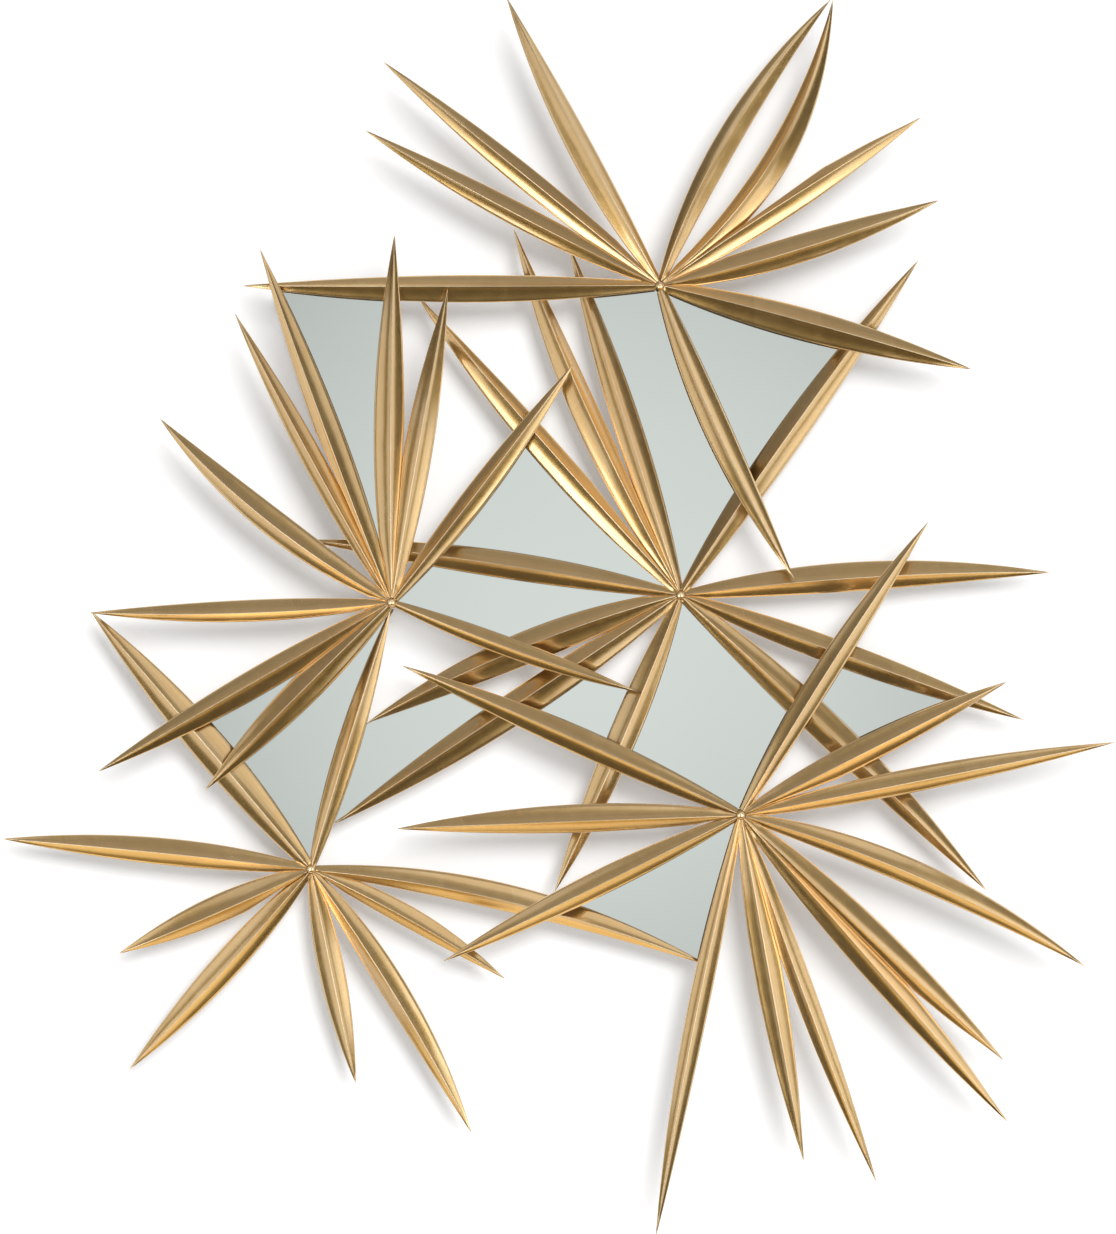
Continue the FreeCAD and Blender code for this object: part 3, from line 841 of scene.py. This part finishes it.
# Softboxes round the camera: across and up from the mirror's centre, out from the wall, the size
# of the face and its brightness
SOFTBOXES = {
    "left_low": ((-0.68, -1.25, -0.48), (0.90, 0.45), 2.7),
    "left_middle": ((-0.45, -1.25, 0.00), (0.45, 0.45), 2.4),
    "left_corner": ((-0.90, -1.20, -0.95), (0.45, 0.45), 3.2),
    "left_high": ((-0.90, -1.25, 0.72), (0.45, 0.95), 0.5),
    "right_low": ((0.68, -1.25, -0.48), (0.90, 0.45), 2.6),
    "right_middle": ((0.68, -1.25, 0.00), (0.90, 0.45), 1.7),
    "right_corner": ((0.68, -1.25, -0.95), (0.90, 0.45), 1.0),
    "right_high": ((0.45, -1.25, 0.72), (1.35, 0.95), 0.65),
    "left_side": ((-1.12, -0.80, 0.00), (0.50, 1.00), 0.8),
    "left_wall": ((-1.12, -0.18, -0.25), (0.34, 1.50), 0.8),
    "right_side": ((1.12, -0.80, -0.25), (0.50, 0.50), 1.2),
    "right_wall": ((1.12, -0.20, 0.00), (0.38, 2.00), 1.0),
}

# A warm floor close under the mirror lights the steep lower edges of the rays
FLOOR_STRIP = ((0.0, -0.15, -1.12), (2.20, 0.26), 1.15)
FLOOR_WARMTH = (1.0, 0.82, 0.48)


# How bright the room is towards each side, seen from the mirror
ROOM = {"all round": 0.02, "left": 0.06, "right": 0.06, "below": 0.10, "above": 0.44, "wall": 0.70}
SCREEN_COSINE = 0.72           # a pale screen fills the cone ahead whose half angle has this cosine
SCREEN_BRIGHTNESS = 0.87
SCREEN_FALL = 68.0             # how fast it darkens away from its middle
SCREEN_EDGE = 0.38             # the least it falls to, as a share of its brightness
SCREEN_MIDDLE = 0.005          # its middle is a little to the right


def screen(nodes, x, y, z):
    """The pale screen's brightness in a direction, brightest at its middle."""
    ahead = nodes.math("GREATER_THAN", nodes.math("MULTIPLY", y, -1.0), SCREEN_COSINE)
    across = nodes.math("SUBTRACT", x, SCREEN_MIDDLE)
    off_axis = nodes.math("ADD", nodes.math("MULTIPLY", across, across), nodes.math("MULTIPLY", z, z))
    fall = nodes.math("SUBTRACT", 1.0, nodes.math("MULTIPLY", off_axis, SCREEN_FALL))
    fall = nodes.math("MAXIMUM", fall, SCREEN_EDGE)
    return nodes.math("MULTIPLY", ahead, nodes.math("MULTIPLY", fall, SCREEN_BRIGHTNESS))


def studio_world():
    """A dim room, lighter overhead, with a pale screen behind the camera for the panes to reflect."""
    world = bpy.data.worlds.new("studio")
    bpy.context.scene.world = world
    world.use_nodes = True
    nodes = Tree(world.node_tree)

    def towards(axis, sign):
        along = nodes.math("MAXIMUM", nodes.math("MULTIPLY", axis, sign), 0.0)
        return nodes.math("MULTIPLY", along, along)

    x, y, z = nodes.split(nodes.add("TexCoord").outputs["Generated"])
    pale = nodes.line(nodes.math("GREATER_THAN", y, 0.0), ROOM["wall"], ROOM["all round"])
    for side, axis, sign in (("left", x, -1), ("right", x, 1), ("above", z, 1)):
        pale = nodes.math("ADD", nodes.math("MULTIPLY", towards(axis, sign), ROOM[side]), pale)
    pale = nodes.math("ADD", pale, screen(nodes, x, y, z))
    warm = nodes.math("MULTIPLY", towards(z, -1), ROOM["below"])
    colour = nodes.add("CombineXYZ")
    for socket, tint in zip(colour.inputs, FLOOR_WARMTH):
        nodes.link(nodes.line(warm, tint, pale), socket)
    nodes.link(colour.outputs[0], nodes.tree.nodes["Background"].inputs["Color"])


DROP_LIGHT_STRENGTH = 2.3
DROP_LIGHT_ANGLE = 33.0        # degrees across, for a soft shadow
DROP_LIGHT_FROM = (0.45, -1.0, 0.55)


def placed_softbox(name, box, centre, unlit):
    """A softbox from the lists above, hung about the mirror's centre. It skips the unlit objects."""
    (across, out, up), (width, height), radiance = box
    lamp = softbox(name, (centre.x + across, out, centre.z + up), centre, width, height, radiance)
    not_for(lamp, *unlit)
    return lamp


def drop_light(wall):
    """A broad light from the upper right that throws the mirror's soft shadow on the wall."""
    data = bpy.data.lights.new("drop_light", "SUN")
    data.energy = DROP_LIGHT_STRENGTH
    data.angle = math.radians(DROP_LIGHT_ANGLE)
    lamp = bpy.data.objects.new("drop_light", data)
    bpy.context.scene.collection.objects.link(lamp)
    lamp.rotation_euler = (-Vector(DROP_LIGHT_FROM)).to_track_quat("-Z", "Y").to_euler()
    only_for(lamp, wall)


def studio(wall, panes):
    """All the lights. The softboxes light the gold, and the panes reflect the screen alone."""
    low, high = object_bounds()
    centre = (low + high) / 2
    unlit = [wall, *panes]
    for name, box in SOFTBOXES.items():
        placed_softbox(name, box, centre, unlit)
    strip = placed_softbox("floor_strip", FLOOR_STRIP, centre, unlit)
    strip.data.color = FLOOR_WARMTH
    drop_light(wall)
    studio_world()
    bpy.context.scene.view_settings.view_transform = "Standard"


studio_wall = wall_and_floor()
camera()
studio(studio_wall, PANES)
